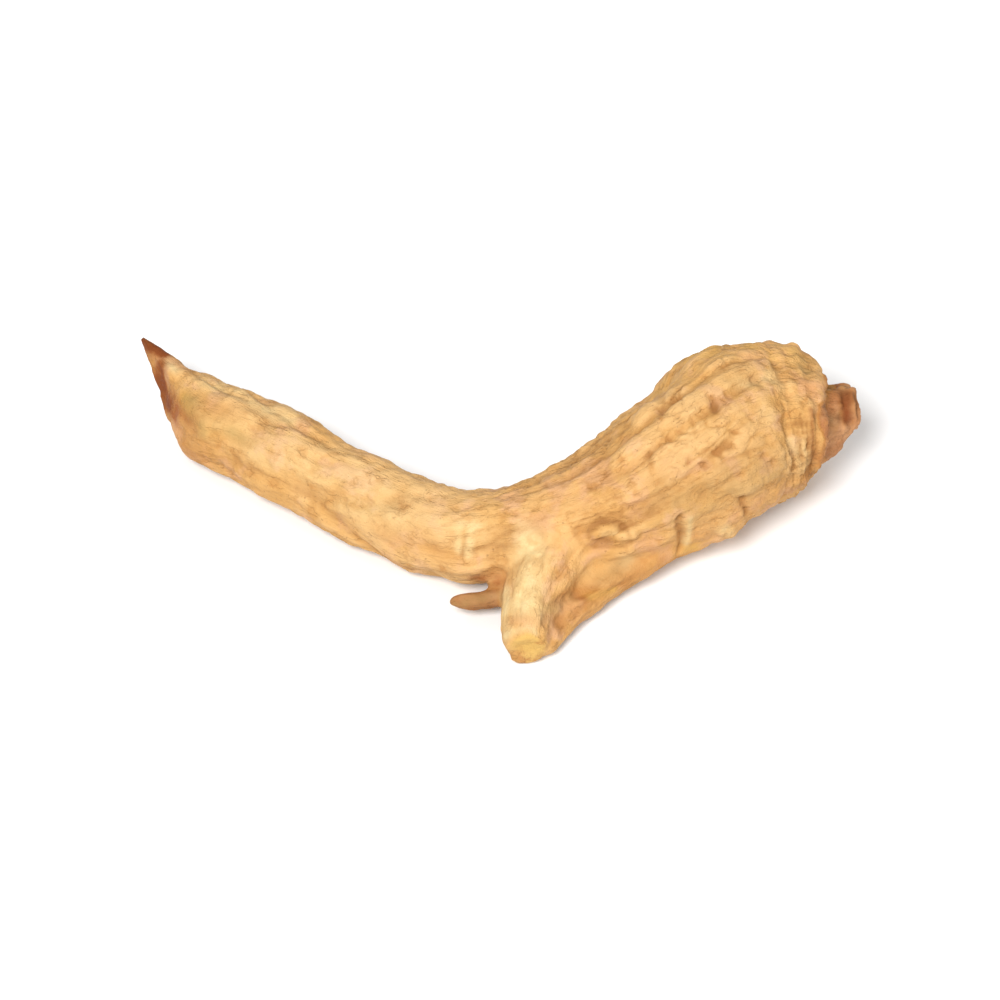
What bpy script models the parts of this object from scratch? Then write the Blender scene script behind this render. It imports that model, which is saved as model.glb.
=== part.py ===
# A dried ginseng root lying on its side: a stout body with a brown crown stub at +X, a long
# leg that curves away to -X, a short blunt leg with a lobe beside it, and a thin rootlet.
# Metres, +Z up. The origin is on the surface it lies on, under the middle of its box.

import math

import bmesh
import bpy
import numpy as np
from mathutils import Matrix

MM = 0.001

# Each limb is a path of stations: x, y, height of its middle and its radius, in millimetres.
# Where a limb lies on the surface, its middle is about one radius high.
BODY_AND_LONG_LEG = [
    (28.2, 6.6, 7.2, 5.2),
    (26.6, 6.4, 7.4, 6.5),
    (24.0, 6.2, 7.2, 7.3),
    (20.6, 5.0, 7.6, 8.1),
    (16.9, 1.8, 7.6, 7.6),
    (13.2, -0.8, 7.0, 6.6),
    (9.9, -2.7, 6.5, 6.0),
    (6.1, -4.0, 5.7, 5.4),
    (2.9, -4.6, 5.1, 4.9),
    (-0.4, -4.9, 4.6, 4.4),
    (-4.6, -4.6, 4.2, 3.9),
    (-11.2, -0.3, 3.8, 3.7),
    (-17.3, 4.4, 4.0, 4.0),
    (-22.0, 8.0, 4.0, 4.0),
    (-24.8, 9.7, 4.0, 3.9),
    (-27.5, 12.7, 4.9, 2.9),
    (-29.6, 15.3, 5.8, 1.5),
    (-31.3, 17.7, 6.5, 0.6),
]
CROWN_STUB = [
    (26.2, 6.4, 7.0, 4.6),
    (29.0, 7.5, 7.3, 3.6),
    (31.0, 8.8, 7.9, 2.5),
]
SHORT_LEG = [
    (6.4, -5.0, 5.4, 4.2),
    (4.6, -8.0, 4.6, 3.5),
    (3.0, -11.8, 3.4, 2.8),
    (2.4, -15.2, 2.5, 2.4),
    (2.4, -17.4, 2.2, 1.9),
]
SIDE_LOBE = [
    (16.6, -2.6, 4.4, 3.0),
    (11.6, -6.4, 3.0, 2.4),
    (7.8, -10.2, 2.2, 1.8),
    (5.0, -14.0, 1.8, 1.5),
    (3.8, -16.2, 1.6, 1.1),
]
ROOTLET = [
    (3.4, -10.4, 3.4, 0.9),
    (0.2, -10.9, 2.8, 0.9),
    (-2.6, -11.2, 2.5, 0.9),
    (-4.4, -11.1, 2.5, 0.5),
]
LIMBS = {
    "body_and_long_leg": BODY_AND_LONG_LEG,
    "crown_stub": CROWN_STUB,
    "short_leg": SHORT_LEG,
    "side_lobe": SIDE_LOBE,
    "rootlet": ROOTLET,
}

# The skin's relief, in millimetres: length is measured along a limb and width across it.
LUMPS = {"height": 0.40, "length": 3.6, "width": 2.4, "seed": 3}
FOLDS = {"depth": 0.50, "length": 3.6, "width": 0.75, "seed": 8, "full_depth_from": 8.0}
FOLD_BREAKS = {"length": 2.2, "width": 1.6, "seed": 9, "least_depth": 0.2}
FOLD_WANDER = {"sideways": 1.1, "length": 5.0, "seeds": (21, 22)}
CREASES = {"depth": 0.25, "length": 1.0, "width": 2.4, "seed": 14, "end": 24.0}
RINGS = {"depth": 0.16, "spacing": 1.5, "start": 0.5, "end": 9.0}
VALLEY_SHARE = 0.45  # how much of the skin slopes into a fold or crease
FULL_RELIEF_RADIUS = 4.0  # limbs thinner than this have less relief
LIMB_BLEND = 6.0  # how sharply the relief changes over from one limb to the next

PATH_STEP = 0.5  # mm between the points of a limb's smooth path
TUBE_SIDES = 6  # bevel steps in each quarter of a limb
WELD = 0.01 * MM
VOXEL = 0.35 * MM  # size of the grid that fuses the limbs
SMOOTHING = 0.5  # share of the way to the neighbours in each smoothing round
CROTCH_ROUNDS = 10  # rounds that soften the crotches, over about 1 mm
SKIN_ROUNDS = 2  # rounds that calm the finished skin
WAVE_COUNT = 14
TRIANGLES = 9400
FLOOR_CUT = 0.35  # mm cut away below, so that it lies on small flat spots
SLAB_WIDTH, SLAB_DEPTH = 120, 10  # mm

SKIN_COLOUR = (0.60, 0.37, 0.16)
SKIN_ROUGHNESS = 0.72


def clear_scene():
    for thing in list(bpy.data.objects):
        bpy.data.objects.remove(thing)


def new_collection(name):
    collection = bpy.data.collections.new(name)
    bpy.context.scene.collection.children.link(collection)
    return collection


def smooth_path(stations):
    # Catmull-Rom curve through the stations: one row of x, y, z, radius for each PATH_STEP.
    points = np.array(stations)
    ends = 2 * points[[0, -1]] - points[[1, -2]]
    padded = np.vstack([ends[:1], points, ends[1:]])
    rows = []
    for a, b, c, d in zip(padded, padded[1:], padded[2:], padded[3:]):
        steps = max(1, round(np.linalg.norm((c - b)[:3]) / PATH_STEP))
        t = np.arange(steps)[:, None] / steps
        even = 2 * b + (c - a) * t
        bend = (2 * a - 5 * b + 4 * c - d) * t**2 + (3 * b - a - 3 * c + d) * t**3
        rows.append((even + bend) / 2)
    return np.vstack(rows + [points[-1:]])


def limb_mesh(name, path):
    # A tube along the path whose bevel follows its radius, with filled ends welded on.
    curve = bpy.data.curves.new(name, "CURVE")
    curve.dimensions = "3D"
    curve.bevel_depth = MM
    curve.bevel_resolution = TUBE_SIDES
    curve.use_fill_caps = True
    spline = curve.splines.new("POLY")
    spline.points.add(len(path) - 1)
    for point, (x, y, z, radius) in zip(spline.points, path):
        point.co = (x * MM, y * MM, z * MM, 1)
        point.radius = radius
    tube = bpy.data.objects.new(name, curve)
    bpy.context.scene.collection.objects.link(tube)
    graph = bpy.context.evaluated_depsgraph_get()
    mesh = bpy.data.meshes.new_from_object(tube.evaluated_get(graph))
    bpy.data.objects.remove(tube)
    work = bmesh.new()
    work.from_mesh(mesh)
    bmesh.ops.remove_doubles(work, verts=work.verts, dist=WELD)
    work.to_mesh(mesh)
    work.free()
    return mesh


def add_smoothing(thing, name, rounds):
    smooth = thing.modifiers.new(name, "SMOOTH")
    smooth.factor = SMOOTHING
    smooth.iterations = rounds


def apply_modifiers(thing):
    graph = bpy.context.evaluated_depsgraph_get()
    mesh = bpy.data.meshes.new_from_object(thing.evaluated_get(graph))
    thing.modifiers.clear()
    thing.data = mesh


def fused_limbs(name, meshes, collection):
    # All limbs in one mesh, remeshed to a single skin and smoothed, so that they grow together.
    work = bmesh.new()
    for mesh in meshes:
        work.from_mesh(mesh)
    fused = bpy.data.meshes.new(name)
    work.to_mesh(fused)
    work.free()
    root = bpy.data.objects.new(name, fused)
    collection.objects.link(root)
    remesh = root.modifiers.new("fuse", "REMESH")
    remesh.mode = "VOXEL"
    remesh.voxel_size = VOXEL
    add_smoothing(root, "soften", CROTCH_ROUNDS)
    apply_modifiers(root)
    return root


def waves(points, seed):
    # A lumpy noise of about -1 to 1: sine waves in fixed random directions, added up.
    random = np.random.default_rng(seed)
    ways = random.normal(size=(WAVE_COUNT, 3))
    lengths = np.linalg.norm(ways, axis=1)[:, None]
    ways *= random.uniform(0.6, 1.4, (WAVE_COUNT, 1)) / lengths
    phases = random.uniform(0, 2 * math.pi, WAVE_COUNT)
    return np.sin(points @ ways.T + phases).sum(axis=1) / math.sqrt(WAVE_COUNT)


def pattern(straight, look):
    # The noise stretched to the length and width that a kind of relief has.
    return waves(straight / (look["length"], look["width"], look["width"]), look["seed"])


def valleys(noise):
    # 1 along the lines where the noise crosses zero, falling to 0 beside them.
    return np.exp(-((noise / VALLEY_SHARE) ** 2))


def along_limb(points, path):
    # Straightened coordinates: the distance along the path, the offset to its side and the
    # offset upwards; with them, the path's radius there and the distance from it in radii.
    centres = path[:, :3]
    nearest = np.empty(len(points), dtype=int)
    for part in np.array_split(np.arange(len(points)), 40):
        gaps = np.linalg.norm(points[part, None] - centres, axis=2) - path[:, 3]
        nearest[part] = gaps.argmin(axis=1)
    tangents = np.gradient(centres, axis=0)
    tangents /= np.linalg.norm(tangents, axis=1)[:, None]
    travelled = np.r_[0, np.linalg.norm(np.diff(centres, axis=0), axis=1).cumsum()]
    tangent = tangents[nearest]
    offset = points - centres[nearest]
    side = np.cross(tangent, (0, 0, 1))
    side /= np.linalg.norm(side, axis=1)[:, None]
    up = np.cross(side, tangent)
    ahead = (offset * tangent).sum(axis=1)
    straight = np.c_[
        travelled[nearest] + ahead,
        (offset * side).sum(axis=1),
        (offset * up).sum(axis=1),
    ]
    radius = path[nearest, 3]
    return straight, radius, np.linalg.norm(offset, axis=1) / radius


def folds_and_lumps(straight):
    # The depth of the wandering folds that run lengthwise, the height of the low lumps, how
    # unbroken the folds are there, and how far they have wandered.
    wander = np.zeros_like(straight)
    for column, seed in enumerate(FOLD_WANDER["seeds"], start=1):
        noise = waves(straight / FOLD_WANDER["length"], seed)
        wander[:, column] = FOLD_WANDER["sideways"] * noise
    unbroken = 0.8 + pattern(straight, FOLD_BREAKS)
    unbroken = np.clip(unbroken, FOLD_BREAKS["least_depth"], 1)
    folds = FOLDS["depth"] * unbroken * valleys(pattern(straight + wander, FOLDS))
    lumps = LUMPS["height"] * pattern(straight, LUMPS)
    return folds, lumps, unbroken, wander


def limb_relief(straight):
    folds, lumps, _, _ = folds_and_lumps(straight)
    return lumps - folds


def body_relief(straight):
    # As a limb's, with shallower folds at the crown end, where broken rings run round the
    # body, and with short creases across it that fade out towards the leg.
    folds, lumps, unbroken, wander = folds_and_lumps(straight)
    along = straight[:, 0]
    folds *= np.clip(along / FOLDS["full_depth_from"], 0.25, 1)
    fade = np.clip((CREASES["end"] - along) / CREASES["end"], 0, 1)
    creases = CREASES["depth"] * fade * valleys(pattern(straight, CREASES))
    turn = 2 * math.pi * (along + wander[:, 1] / 2) / RINGS["spacing"]
    fade = np.clip((RINGS["end"] - along) / (RINGS["end"] - RINGS["start"]), 0, 1)
    rings = RINGS["depth"] * np.cos(turn) * fade * unbroken * (along > RINGS["start"])
    return lumps + rings - creases - folds


def vertex_values(mesh, name):
    values = np.empty(len(mesh.vertices) * 3)
    mesh.vertices.foreach_get(name, values)
    return values.reshape(-1, 3)


def raise_relief(root, paths):
    # Moves each vertex along its normal by the relief of the limbs near it, the nearest most.
    mesh = root.data
    points = vertex_values(mesh, "co") / MM
    heights, weights = [], []
    for name, path in paths.items():
        straight, radius, away = along_limb(points, path)
        relief = body_relief if name == "body_and_long_leg" else limb_relief
        heights.append(relief(straight) * np.clip(radius / FULL_RELIEF_RADIUS, 0, 1))
        weights.append(np.exp(-LIMB_BLEND * away))
    height = np.average(heights, axis=0, weights=weights)
    points += vertex_values(mesh, "normal") * height[:, None]
    mesh.vertices.foreach_set("co", (points * MM).ravel())
    mesh.update()


def thin_out(root):
    add_smoothing(root, "calm", SKIN_ROUNDS)
    thin = root.modifiers.new("thin out", "DECIMATE")
    thin.ratio = TRIANGLES / (2 * len(root.data.polygons))
    thin.use_collapse_triangulate = True
    apply_modifiers(root)


def floor_cutter(guides):
    # A slab whose top is the floor, wider than the root.
    slab = bpy.data.meshes.new("floor_cutter")
    size = (SLAB_WIDTH * MM, SLAB_WIDTH * MM, SLAB_DEPTH * MM)
    work = bmesh.new()
    bmesh.ops.create_cube(work, size=1)
    bmesh.ops.scale(work, verts=work.verts, vec=size)
    bmesh.ops.translate(work, verts=work.verts, vec=(0, 0, -SLAB_DEPTH / 2 * MM))
    work.to_mesh(slab)
    work.free()
    cutter = bpy.data.objects.new("floor_cutter", slab)
    guides.objects.link(cutter)
    cutter.hide_render = True
    cutter.display_type = "WIRE"
    return cutter


def cut_level_below(root, cutter):
    # The underside is cut level at the floor, which leaves the small flat spots it lies on.
    root.data.transform(Matrix.Translation((0, 0, -FLOOR_CUT * MM)))
    level = root.modifiers.new("level", "BOOLEAN")
    level.operation = "DIFFERENCE"
    level.object = cutter


def skin_material():
    material = bpy.data.materials.new("root_skin")
    material.use_nodes = True
    shader = material.node_tree.nodes["Principled BSDF"]
    shader.inputs["Base Color"].default_value = (*SKIN_COLOUR, 1)
    shader.inputs["Roughness"].default_value = SKIN_ROUGHNESS
    shader.inputs["Metallic"].default_value = 0
    return material


def main():
    clear_scene()
    collection = new_collection("ginseng_root")
    guides = new_collection("cutters")
    paths = {name: smooth_path(stations) for name, stations in LIMBS.items()}
    meshes = [limb_mesh(name, path) for name, path in paths.items()]
    root = fused_limbs("ginseng_root", meshes, collection)
    raise_relief(root, paths)
    thin_out(root)
    root.data.materials.append(skin_material())
    root.data.shade_smooth()
    cut_level_below(root, floor_cutter(guides))


main()
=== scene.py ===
import math
import bpy
import numpy as np
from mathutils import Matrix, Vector


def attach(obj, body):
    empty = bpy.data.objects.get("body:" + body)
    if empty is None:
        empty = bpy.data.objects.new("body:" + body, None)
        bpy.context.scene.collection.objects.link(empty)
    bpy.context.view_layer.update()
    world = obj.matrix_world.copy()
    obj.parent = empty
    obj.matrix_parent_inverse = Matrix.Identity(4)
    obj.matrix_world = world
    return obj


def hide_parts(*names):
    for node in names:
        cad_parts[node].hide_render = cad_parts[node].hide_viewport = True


# A dried, forked ginseng root lying on its side: ringed body and brown crown stub to the
# right, long curved leg to the left, blunt short leg with a lobe beside it, thin rootlet.

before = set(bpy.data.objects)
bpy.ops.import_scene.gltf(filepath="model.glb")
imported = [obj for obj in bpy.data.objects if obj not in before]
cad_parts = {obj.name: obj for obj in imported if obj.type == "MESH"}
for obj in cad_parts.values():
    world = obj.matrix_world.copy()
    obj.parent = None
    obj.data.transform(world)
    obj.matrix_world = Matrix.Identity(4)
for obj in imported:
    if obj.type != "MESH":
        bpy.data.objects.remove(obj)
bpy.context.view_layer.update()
mm = 0.001
tiny = 1e-9  # keeps a division safe for a line with no length

# ---- the limbs: x, y, height of the middle and radius, in millimetres
limbs = {
    "bodyAndLongLeg": [
        (28.2, 6.6, 7.2, 5.2), (26.6, 6.4, 7.4, 6.5), (24.0, 6.2, 7.2, 7.3), (20.6, 5.0, 7.6, 8.1),
        (16.9, 1.8, 7.6, 7.7), (13.2, -0.8, 7.0, 6.7), (9.9, -2.7, 6.5, 6.0), (6.1, -4.0, 5.7, 5.4),
        (2.9, -4.6, 5.1, 4.9), (-0.4, -4.9, 4.6, 4.4), (-4.6, -4.6, 4.2, 3.9), (-11.2, -0.3, 3.8, 3.8),
        (-17.3, 4.4, 4.0, 4.0), (-22.0, 8.0, 4.0, 4.0), (-24.8, 9.7, 4.0, 4.0), (-27.5, 12.7, 4.9, 2.9),
        (-29.2, 14.6, 6.0, 1.6), (-30.5, 16.2, 6.6, 1.0), (-31.2, 17.2, 6.9, 0.65),
        (-32.1, 18.2, 7.2, 0.35),
    ],
    "crownStub": [
        (26.4, 6.3, 6.9, 4.4), (28.0, 6.6, 7.0, 3.9), (29.6, 7.2, 7.8, 3.3), (30.6, 7.5, 8.2, 2.8),
        (31.9, 7.7, 8.4, 2.2),
    ],
    "crownBud": [(30.0, 8.0, 8.8, 1.3), (30.3, 8.3, 9.8, 1.1), (30.4, 8.4, 10.4, 0.8)],
    "shortLeg": [
        (6.4, -5.0, 5.4, 4.2), (4.6, -8.0, 4.6, 3.5), (3.0, -11.8, 3.4, 2.8), (2.4, -15.2, 2.5, 2.4),
        (2.4, -17.4, 2.2, 1.9),
    ],
    "sideLobe": [
        (16.6, -2.6, 4.4, 3.0), (11.6, -6.4, 3.0, 2.4), (7.8, -10.2, 2.2, 1.8), (5.0, -14.0, 1.8, 1.5),
        (3.8, -16.2, 1.6, 1.1),
    ],
    "rootlet": [
        (3.4, -10.2, 3.6, 0.85), (0.4, -10.6, 2.85, 0.96), (-2.0, -10.8, 2.6, 0.92),
        (-3.4, -10.9, 2.6, 0.8), (-4.4, -10.9, 2.6, 0.46),
    ],
    # flesh between the rootlet and the legs
    "rootletHeel": [(2.4, -9.2, 3.3, 1.4), (0.8, -9.6, 3.0, 1.15), (-0.8, -9.9, 2.8, 0.8)],
}
growth = {
    "pathStep": 0.5,  # mm between the points of a limb's smooth path
    "sides": 40,  # points round a limb's tube
    "voxel": 0.2,  # mm, grid that fuses the limbs
    "smoothing": 0.5,  # how far a point moves in a round
    "softCrotch": 31,  # rounds that soften where limbs meet
    "softSkin": 7,  # rounds that calm the low relief
    "softBend": 0.8,  # mm, how gently the straightened places turn at a bend
    "batches": 60,  # parts that the places are straightened in
    "blend": 6.0,  # how sharply relief changes over from limb to limb
    "fullReliefRadius": 4.0,  # mm, thinner limbs have less relief
    "leastFine": 0.5,  # share of the fine relief on the thinnest limb
    "lowered": 0.35,  # mm it settles, so that it lies on small flat spots
    "lowInFurrow": 0.55,  # how much low folds brown the skin
    "lowInRaised": 0.6,  # how much its low height pales the heights and ambers the hollows, partly painted highlight and painted shade
    "mostFurrow": 2.0,  # most that furrows and lines brown it
    "sure": (0.5, 0.9),  # share of one limb where its grain starts and is full
}


def smoothPath(stations):
    # Catmull-Rom curve through the stations, a row of x, y, z, radius for each half millimetre:
    # (2b + (c-a)t + (2a-5b+4c-d)t^2 + (3b-a-3c+d)t^3) / 2 between stations b and c.
    points = np.array(stations)
    ends = 2 * points[[0, -1]] - points[[1, -2]]
    padded = np.vstack([ends[:1], points, ends[1:]])
    rows = []
    for a, b, c, d in zip(padded, padded[1:], padded[2:], padded[3:]):
        steps = max(1, round(np.linalg.norm((c - b)[:3]) / growth["pathStep"]))
        t = np.arange(steps)[:, None] / steps
        bend = (2 * a - 5 * b + 4 * c - d) * t**2 + (3 * b - a - 3 * c + d) * t**3
        rows.append((2 * b + (c - a) * t + bend) / 2)
    return np.vstack(rows + [points[-1:]])


def limbFrames(path):
    # At each row of the path: its direction, the way to its side and the way up from it.
    ahead = np.gradient(path[:, :3], axis=0)
    ahead /= np.linalg.norm(ahead, axis=1)[:, None]
    side = np.cross(ahead, (0, 0, 1))
    side /= np.linalg.norm(side, axis=1)[:, None]
    return ahead, side, np.cross(side, ahead)


def limbTube(path):
    # point(s, a) = middle(s) + radius(s) * (cos a * side(s) + sin a * up(s)), with a between
    # 0 and a full turn, and a point that closes each end.
    sides = growth["sides"]
    _, side, up = limbFrames(path)
    turn = np.linspace(0, 2 * math.pi, sides, endpoint=False)
    ring = np.cos(turn)[None, :, None] * side[:, None] + np.sin(turn)[None, :, None] * up[:, None]
    points = (path[:, None, :3] + path[:, None, 3:] * ring).reshape(-1, 3)
    rows = len(path)
    index = np.arange(rows * sides).reshape(rows, sides)
    nextOne = np.roll(index, -1, axis=1)
    walls = np.stack([index[:-1], index[1:], nextOne[1:], nextOne[:-1]], axis=-1).reshape(-1, 4)
    start, end = rows * sides, rows * sides + 1
    startCap = np.stack([np.full(sides, start), index[0], nextOne[0]], axis=-1)
    endCap = np.stack([np.full(sides, end), nextOne[-1], index[-1]], axis=-1)
    points = np.vstack([points, path[0, :3], path[-1, :3]])
    return points, walls.tolist() + startCap.tolist() + endCap.tolist()


def put(name, data):
    # A new object at the origin, unturned and unscaled.
    thing = bpy.data.objects.new(name, data)
    bpy.context.scene.collection.objects.link(thing)
    return thing


def newMaterial(name):
    material = bpy.data.materials.new(name)
    material.use_nodes = True
    return material, material.node_tree.nodes["Principled BSDF"]


def setInputs(node, **values):
    # Sets inputs by name, _ for a space.
    for name, value in values.items():
        node.inputs[name.replace("_", " ")].default_value = value


def applyModifiers(thing):
    # The mesh that the modifiers give takes the old one's place.
    graph = bpy.context.evaluated_depsgraph_get()
    mesh = bpy.data.meshes.new_from_object(thing.evaluated_get(graph))
    thing.modifiers.clear()
    thing.data = mesh


def soften(thing, rounds):
    # In each round a point moves part of the way to its neighbours' mean.
    smooth = thing.modifiers.new("soften", "SMOOTH")
    smooth.factor = growth["smoothing"]
    smooth.iterations = rounds


def vertexRows(mesh, name):
    # A row of three numbers for each vertex: its place, co, or its normal.
    values = np.empty(len(mesh.vertices) * 3)
    mesh.vertices.foreach_get(name, values)
    return values.reshape(-1, 3)


def setPoints(thing, points):
    # Places in millimetres, written to the mesh in metres.
    thing.data.vertices.foreach_set("co", (points * mm).ravel())
    thing.data.update()


def fuseLimbs(name, paths):
    # The limbs' tubes, remeshed on a cubic grid into one closed skin, and softened.
    points, faces, total = [], [], 0
    for path in paths.values():
        limbPoints, limbFaces = limbTube(path)
        faces += [[corner + total for corner in face] for face in limbFaces]
        points.append(limbPoints)
        total += len(limbPoints)
    mesh = bpy.data.meshes.new(name)
    mesh.from_pydata(np.vstack(points) * mm, [], faces)
    root = put(name, mesh)
    remesh = root.modifiers.new("fuse", "REMESH")
    remesh.mode = "VOXEL"
    remesh.voxel_size = growth["voxel"] * mm
    soften(root, growth["softCrotch"])
    applyModifiers(root)
    return root


# ---- patterns for the relief

noiseLook = {
    "waves": 14, "longest": 0.6, "shortest": 1.4,  # how many, and the range of wave numbers
    "cellKeys": ((12.9898, 78.233, 37.719), (39.346, 11.135, 83.155), (73.156, 52.235, 9.151)),
    "cellStretch": 43758.5453, "cellTell": 5.3,  # uneven numbers that scramble a cell's place
}


def waves(points, seed):
    # Sine waves in fixed random directions, added up: a lumpy noise, mostly within -1 to 1.
    random = np.random.default_rng(seed)
    count = noiseLook["waves"]
    ways = random.normal(size=(count, 3))
    lengths = np.linalg.norm(ways, axis=1)[:, None]
    ways *= random.uniform(noiseLook["longest"], noiseLook["shortest"], (count, 1)) / lengths
    phases = random.uniform(0, 2 * math.pi, count)
    return np.sin(points @ ways.T + phases).sum(axis=1) / math.sqrt(count)


def ripple(points, height, size, seed):
    # height * noise, with lumps of the size given in millimetres.
    return height * waves(points / size, seed)


def shifted(points, by, size, seed):
    # The points moved along each axis by a noise.
    return points + by * np.stack([waves(points / size, seed + axis) for axis in range(3)], axis=1)


def sizeOf(look):
    # A form's length along the root, and its width sideways and upwards.
    length, width = look["size"]
    return np.array((length, width, width))


def pattern(straight, look):
    # The noise stretched to a form's length and width.
    return waves(straight / sizeOf(look), look["seed"])


def uneven(points, size, seed, level, change, least, most):
    # A strength that comes and goes: level + change * noise, kept from least to most. Rows
    # named breaks, patches and lineDepth hold these six.
    return np.clip(level + change * waves(points / size, seed), least, most)


def valleys(straight, look):
    # exp(-(noise / share)^2): 1 along the lines where the noise is 0, falling beside them.
    return bell(pattern(straight, look) / look["share"])


def bell(distance):
    # exp(-distance^2): 1 at 0, near 0 from 2 on.
    return np.exp(-(distance**2))


def ease(value, low, high):
    # 0 at low, 1 at high, with a smooth start and end: 3t^2 - 2t^3.
    t = np.clip((value - low) / (high - low), 0, 1)
    return t * t * (3 - 2 * t)


def scramble(cells, seed):
    # Three fixed numbers from 0 to 1 for each cell of a grid: the fraction of a large sine.
    sines = np.sin(cells @ np.array(noiseLook["cellKeys"]) + seed)
    return np.modf(np.abs(sines * noiseLook["cellStretch"]))[0]


def eachNeighbour(points, seed):
    # For the 27 grid cells round each point: the offset to the cell's centre, somewhere in
    # it, and a number from 0 to 1 that tells the cell apart.
    base = np.floor(points)
    for step in np.ndindex(3, 3, 3):
        cell = base + np.array(step) - 1
        tell = scramble(cell, seed + noiseLook["cellTell"])[:, 0]
        yield points - (cell + scramble(cell, seed)), tell


def netLines(straight, look):
    # Lines of an uneven net: the distance to the second nearest centre less the distance to
    # the nearest is 0 midway between two centres. 1 on a line, falling to 0 beside it.
    points = shifted(straight, *look["wander"]) / sizeOf(look)
    nearest = second = np.full(len(points), np.inf)
    for offset, _ in eachNeighbour(points, look["seed"]):
        gap = np.linalg.norm(offset, axis=1)
        second = np.minimum(second, np.maximum(nearest, gap))
        nearest = np.minimum(nearest, gap)
    return uneven(straight, *look["breaks"]) * bell((second - nearest) / look["line"])


def scattered(straight, look):
    # Spots strewn over the skin: exp(-(distance to a centre in the spot's sizes)^2), the
    # greatest around, in the share of the cells that have one.
    points = straight / look["apart"]
    size = sizeOf(look) / look["apart"]
    spots = np.zeros(len(points))
    for offset, chance in eachNeighbour(points, look["seed"]):
        spot = np.exp(-((offset / size) ** 2).sum(axis=1)) * (chance < look["share"])
        spots = np.maximum(spots, spot)
    return spots


# ---- low relief, the same forms as in the solid, in millimetres

lowRelief = {
    "lumps": {"height": 0.4, "size": (3.6, 2.4), "seed": 3},
    "folds": {"depth": 0.5, "size": (3.6, 0.75), "share": 0.45, "seed": 8,
              "fullDepthFrom": 8.0, "leastDepth": 0.25},
    "breaks": ((2.2, 1.6, 1.6), 9, 0.8, 1.0, 0.2, 1.0),
    "bends": ((1.1, 5.0, 21), (1.1, 5.0, 22)),  # sideways and up: how far, size, seed
    "creases": {"depth": 0.25, "size": (1.0, 2.4), "share": 0.45, "seed": 14,
                "end": 24.0, "brown": 0.6},
    "rings": {"depth": 0.16, "spacing": 1.5, "start": 0.5, "end": 9.0, "wobble": 0.5, "pale": 0.3},
}


def alongLimb(points, path):
    # Straightened coordinates: distance along the path, offsets to its side and upwards,
    # each the mean over the path's rows with weights exp(-(gap to the row's ball) / softBend).
    # With them, the path's radius there and the distance from its middle in radii.
    middles = path[:, :3]
    ahead, side, up = limbFrames(path)
    travelled = np.r_[0, np.linalg.norm(np.diff(middles, axis=0), axis=1).cumsum()]
    straight, radius, away = np.empty((len(points), 3)), np.empty(len(points)), np.empty(len(points))
    for part in np.array_split(np.arange(len(points)), growth["batches"]):
        offset = points[part, None] - middles
        reach = np.linalg.norm(offset, axis=2)
        gaps = reach - path[:, 3]
        weights = np.exp((gaps.min(axis=1)[:, None] - gaps) / growth["softBend"])
        weights /= weights.sum(axis=1)[:, None]
        for column, way in enumerate((ahead, side, up)):
            straight[part, column] = (weights * (offset * way).sum(axis=2)).sum(axis=1)
        straight[part, 0] += weights @ travelled
        radius[part] = weights @ path[:, 3]
        away[part] = (reach / path[:, 3]).min(axis=1)
    return straight, radius, away


def lowReliefOf(straight, onBody):
    # Lumps less wandering folds; on the body also broken rings at the crown end and creases
    # that fade out towards the leg. With the height, how deep in them a point is, 0 to 1.
    look, creasing, rings = lowRelief, lowRelief["creases"], lowRelief["rings"]
    bends = [ripple(straight, *bend) for bend in look["bends"]]
    bent = straight + np.stack([np.zeros(len(straight)), *bends], axis=1)
    unbroken = uneven(straight, *look["breaks"])
    folds = unbroken * valleys(bent, look["folds"])
    height = look["lumps"]["height"] * pattern(straight, look["lumps"])
    if not onBody:
        return height - look["folds"]["depth"] * folds, folds
    along = straight[:, 0]
    folds *= np.clip(along / look["folds"]["fullDepthFrom"], look["folds"]["leastDepth"], 1)
    creases = valleys(straight, creasing) * np.clip(1 - along / creasing["end"], 0, 1)
    turn = 2 * math.pi * (along + rings["wobble"] * bends[0]) / rings["spacing"]
    fade = np.clip((rings["end"] - along) / (rings["end"] - rings["start"]), 0, 1)
    waviness = np.cos(turn) * fade * unbroken * (along > rings["start"])
    height += rings["depth"] * waviness - creasing["depth"] * creases
    height -= look["folds"]["depth"] * folds
    return height, np.maximum(folds, creasing["brown"] * creases) - rings["pale"] * waviness


# ---- fine relief: what shows from close by, in millimetres

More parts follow.
